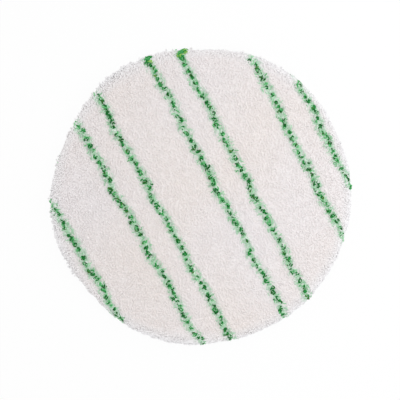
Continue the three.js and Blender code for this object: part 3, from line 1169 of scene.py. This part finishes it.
def cloth_disc(name, low, high):
    """A closed round cloth between two levels, with shallow puckers on both sides."""
    turns = np.arange(CLOTH_SPOKES) / CLOTH_SPOKES * 2 * math.pi
    radii = np.linspace(0, 1, CLOTH_RINGS + 1)[1:] * CLOTH_RADIUS
    radius, turn = (grid.ravel() for grid in np.meshgrid(radii, turns, indexing="ij"))
    x = np.append(radius * np.cos(turn), 0.0) + CLOTH_MIDDLE.x
    y = np.append(radius * np.sin(turn), 0.0) + CLOTH_MIDDLE.y
    wave = PUCKER * (np.sin(x / PUCKER_LENGTHS[0]) * np.sin(y / PUCKER_LENGTHS[1]) - 1)
    top = np.stack([x, y, high + wave], 1)
    bottom = np.stack([x, y, low - wave], 1)
    rim, centre, count = CLOTH_SPOKES, CLOTH_RINGS * CLOTH_SPOKES, CLOTH_RINGS * CLOTH_SPOKES + 1
    quads, edge = [], (CLOTH_RINGS - 1) * rim
    for spoke in range(rim):
        after = (spoke + 1) % rim
        quads.append([centre, spoke, after])
        quads.append([count + centre, count + after, count + spoke])
        for ring in range(CLOTH_RINGS - 1):
            near, far = ring * rim, (ring + 1) * rim
            quads.append([near + spoke, far + spoke, far + after, near + after])
            quads.append([count + index for index in (near + after, far + after, far + spoke, near + spoke)])
        quads.append([edge + spoke, count + edge + spoke, count + edge + after, edge + after])
    mesh = bpy.data.meshes.new(name)
    mesh.from_pydata(np.concatenate([top, bottom]), [], quads)
    mesh.shade_smooth()
    return mesh


def woven_cloth():
    """A plain off-white weave."""
    material = new_material("backing weave")
    tree = material.node_tree
    place = tree.nodes.new("ShaderNodeNewGeometry")
    parts = add_node(tree, "ShaderNodeSeparateXYZ", in_0=place.outputs["Position"])
    turns = 2 * math.pi / WEAVE_PITCH
    waves = [math_node(tree, "SINE", math_node(tree, "MULTIPLY", parts.outputs[axis], turns))
             for axis in ("X", "Y")]
    weave = spread(tree, math_node(tree, "MULTIPLY", *waves), -1.0, 1.0, 0.0, 1.0)
    cover = tree.nodes["Principled BSDF"]
    cover.inputs["Roughness"].default_value = CLOTH_ROUGHNESS
    cover.inputs["Specular IOR Level"].default_value = CLOTH_GLOSS
    colour = blend_colours(tree, weave, shade(206, 202, 194), shade(232, 229, 222))
    link(tree, colour, cover.inputs["Base Color"])
    bump = add_node(tree, "ShaderNodeBump", Strength=WEAVE_RELIEF, Distance=WEAVE_DEPTH, Height=weave)
    link(tree, bump.outputs["Normal"], cover.inputs["Normal"])
    return material


backing_weave = woven_cloth()
for node, (low, high) in {"upper_backing": upper_cloth, "lower_backing": lower_cloth}.items():
    name = node.replace("backing", "cloth")
    cloth = bpy.data.objects.new(name, cloth_disc(name, low.z, high.z))
    bpy.context.scene.collection.objects.link(cloth)
    cloth.data.materials.append(backing_weave)
    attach(cloth, "root")
    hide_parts(node)

# %% [markdown]
# ## The overlocked edge
#
# The cloths are joined by an overlock stitch: a thread that runs in and out over their edge. It is
# one strand whose distance from the middle swings between the two sides of the seam.

# %% Sew the seam
STITCHES = 260
STITCH_STEPS = 4
STITCH_REACH = 6 * MM
THREAD_SHARE = 0.42
THREAD_PATCH_SCALE, THREAD_ROUGHNESS = 900.0, 0.7


def overlock(low, high):
    """One closed thread that winds around the edge of the cloths."""
    outer = (high.x - low.x) / 2
    thread = (high.z - low.z) * THREAD_SHARE
    inner = outer - STITCH_REACH
    middle = (low + high) / 2
    count = STITCHES * STITCH_STEPS
    turn = np.arange(count) / count * 2 * math.pi
    swing = np.cos(np.arange(count) / STITCH_STEPS * 2 * math.pi)
    radius = (outer + inner) / 2 + ((outer - inner) / 2 - thread) * swing
    path = np.stack([radius * np.cos(turn) + middle.x, radius * np.sin(turn) + middle.y,
                     np.full(count, middle.z)], 1)
    along = unit(np.roll(path, -1, 0) - np.roll(path, 1, 0))
    across = np.cross([0.0, 0.0, 1.0], along)
    corner = (np.arange(SIDES) + 0.5) / SIDES * 2 * math.pi
    ring = np.cos(corner)[None, :, None] * across[:, None] + np.sin(corner)[None, :, None] * [0, 0, 1]
    points = (path[:, None] + ring * thread).reshape(-1, 3)
    step, side = (grid.ravel() for grid in np.meshgrid(range(count), range(SIDES), indexing="ij"))
    after, ahead = (side + 1) % SIDES, (step + 1) % count
    return points, np.stack([step * SIDES + side, step * SIDES + after, ahead * SIDES + after,
                             ahead * SIDES + side], 1)


def thread_finish():
    """A fine off-white sewing thread."""
    material = new_material("seam thread")
    tree = material.node_tree
    spots = patches(tree, THREAD_PATCH_SCALE)
    colour = blend_colours(tree, spots, shade(224, 222, 218), shade(242, 241, 238))
    cover = tree.nodes["Principled BSDF"]
    cover.inputs["Roughness"].default_value = THREAD_ROUGHNESS
    link(tree, colour, cover.inputs["Base Color"])
    return material


points, faces = overlock(*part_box("rim_overlock_seam"))
mesh = bpy.data.meshes.new("rim_overlock_thread")
mesh.from_pydata(points, [], faces.tolist())
mesh.shade_smooth()
mesh.materials.append(thread_finish())
seam = bpy.data.objects.new("rim_overlock_thread", mesh)
bpy.context.scene.collection.objects.link(seam)
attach(seam, "root")
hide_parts("rim_overlock_seam")
print("seam thread", len(points), "points")

# %% [markdown]
# ## Floor, light and camera
#
# The pad lies on a white floor. The floor shows white to the camera and keeps a faint shadow. The
# light is soft all around, as in a light tent, and the pad is a little brighter on the right. Lamps
# alone would need many to be this soft, so the world is the tent: its walls are brighter than its
# roof, and one wall fills the side that a large soft lamp on the right leaves darker. The camera
# looks almost straight down, ten degrees off, as in the photograph.

# %% The floor
FLOOR_GLOW = 0.93
FLOOR_HALF = 4.0


def pale_floor():
    """A white floor that shows white to the camera and still takes a faint shadow."""
    material = new_material("studio floor")
    tree = material.node_tree
    tree.nodes.clear()
    matt = add_node(tree, "ShaderNodeBsdfDiffuse", Color=(1.0, 1.0, 1.0, 1.0))
    bright = add_node(tree, "ShaderNodeEmission", Strength=1.0)
    rays = tree.nodes.new("ShaderNodeLightPath")
    seen = math_node(tree, "MAXIMUM", rays.outputs["Is Camera Ray"], rays.outputs["Is Glossy Ray"])
    seen = math_node(tree, "MAXIMUM", seen, rays.outputs["Is Transmission Ray"])
    part = math_node(tree, "MULTIPLY", seen, FLOOR_GLOW)
    mixed = add_node(tree, "ShaderNodeMixShader", in_0=part, in_1=matt.outputs[0], in_2=bright.outputs[0])
    end = tree.nodes.new("ShaderNodeOutputMaterial")
    link(tree, mixed.outputs[0], end.inputs["Surface"])
    return material


mesh = bpy.data.meshes.new("floor")
corners = [(-1, -1), (1, -1), (1, 1), (-1, 1)]
mesh.from_pydata([(x * FLOOR_HALF, y * FLOOR_HALF, cad_box[0].z) for x, y in corners], [], [(0, 1, 2, 3)])
mesh.materials.append(pale_floor())
floor = bpy.data.objects.new("floor", mesh)
bpy.context.scene.collection.objects.link(floor)
print("floor at", round(cad_box[0].z / MM, 2), "mm")

# %% The light tent
IMAGE_TURN = math.radians(28)
image_right = Vector((math.cos(IMAGE_TURN), -math.sin(IMAGE_TURN), 0.0))
image_up = Vector((math.sin(IMAGE_TURN), math.cos(IMAGE_TURN), 0.0))

TENT_WALLS, TENT_ROOF = 0.955, 0.445
FILL_SIDE, FILL_WALL, FILL_FALLOFF = (image_up * 0.4 - image_right).normalized(), 0.65, 2.0
world = bpy.data.worlds.new("light tent")
bpy.context.scene.world = world
world.use_nodes = True
sky = world.node_tree
sky.nodes.clear()
paper = (1.0, 1.0, 1.0, 1.0)
way = sky.nodes.new("ShaderNodeTexCoord")
height = add_node(sky, "ShaderNodeSeparateXYZ", in_0=way.outputs["Generated"]).outputs["Z"]
glow = spread(sky, height, 0.0, 1.0, TENT_WALLS, TENT_ROOF)
facing = add_node(sky, "ShaderNodeVectorMath", in_0=way.outputs["Generated"], in_1=FILL_SIDE)
facing.operation = "DOT_PRODUCT"
fill = math_node(sky, "MAXIMUM", facing.outputs["Value"], 0.0)
fill = math_node(sky, "MULTIPLY", math_node(sky, "POWER", fill, FILL_FALLOFF), FILL_WALL)
glow = math_node(sky, "ADD", glow, fill)
tent = add_node(sky, "ShaderNodeBackground", Color=paper, Strength=glow)
white = add_node(sky, "ShaderNodeBackground", Color=paper, Strength=1.0)
rays = sky.nodes.new("ShaderNodeLightPath")
seen = math_node(sky, "MAXIMUM", rays.outputs["Is Camera Ray"], rays.outputs["Is Glossy Ray"])
seen = math_node(sky, "MAXIMUM", seen, rays.outputs["Is Transmission Ray"])
mixed = add_node(sky, "ShaderNodeMixShader", in_0=seen, in_1=tent.outputs[0], in_2=white.outputs[0])
end = sky.nodes.new("ShaderNodeOutputWorld")
link(sky, mixed.outputs[0], end.inputs["Surface"])
print("tent walls", TENT_WALLS, "roof", TENT_ROOF)

# %% The soft lamp
KEY_PLACE = image_right * 0.5 + image_up * 0.1 + Vector((0, 0, 0.8))
KEY_SIZE, KEY_POWER = 1.3, 4.6
KEY_COLOUR = (0.95, 0.98, 1.0)


def soft_lamp(name, place, size, power, colour):
    """A large square lamp that points at the pad and isn't seen itself."""
    data = bpy.data.lights.new(name, "AREA")
    data.size = size
    data.energy = power
    data.color = colour
    lamp = bpy.data.objects.new(name, data)
    lamp.location = place
    lamp.rotation_euler = (-Vector(place)).to_track_quat("-Z", "Y").to_euler()
    lamp.visible_camera = False
    bpy.context.scene.collection.objects.link(lamp)
    return lamp


key = soft_lamp("soft key", KEY_PLACE, KEY_SIZE, KEY_POWER, KEY_COLOUR)
print("lamp", [round(part, 2) for part in key.location])

# %% The camera
CAMERA_TILT = math.radians(10)
CAMERA_REACH = 1.23
SENSOR = 36.0
FOCAL_PIXELS, IMAGE_PIXELS = 727, 400
PAD_PIXEL = (203.3, 198.8)

data = bpy.data.cameras.new("camera")
data.sensor_width = SENSOR
data.lens = FOCAL_PIXELS / IMAGE_PIXELS * SENSOR
data.shift_x = (IMAGE_PIXELS / 2 - PAD_PIXEL[0]) / IMAGE_PIXELS
data.shift_y = (PAD_PIXEL[1] - IMAGE_PIXELS / 2) / IMAGE_PIXELS
camera = bpy.data.objects.new("camera", data)
bpy.context.scene.collection.objects.link(camera)
middle = (cad_box[0] + cad_box[1]) / 2
back = Vector((0, math.sin(CAMERA_TILT), math.cos(CAMERA_TILT)))
right = image_up.cross(back).normalized()
up = back.cross(right)
camera.matrix_world = Matrix.Translation(middle + back * CAMERA_REACH) @ Matrix(
    (right, up, back)).transposed().to_4x4()
bpy.context.scene.camera = camera
print("lens", round(data.lens, 1), "mm")

# %% Colours as written
bpy.context.scene.view_settings.view_transform = "Standard"
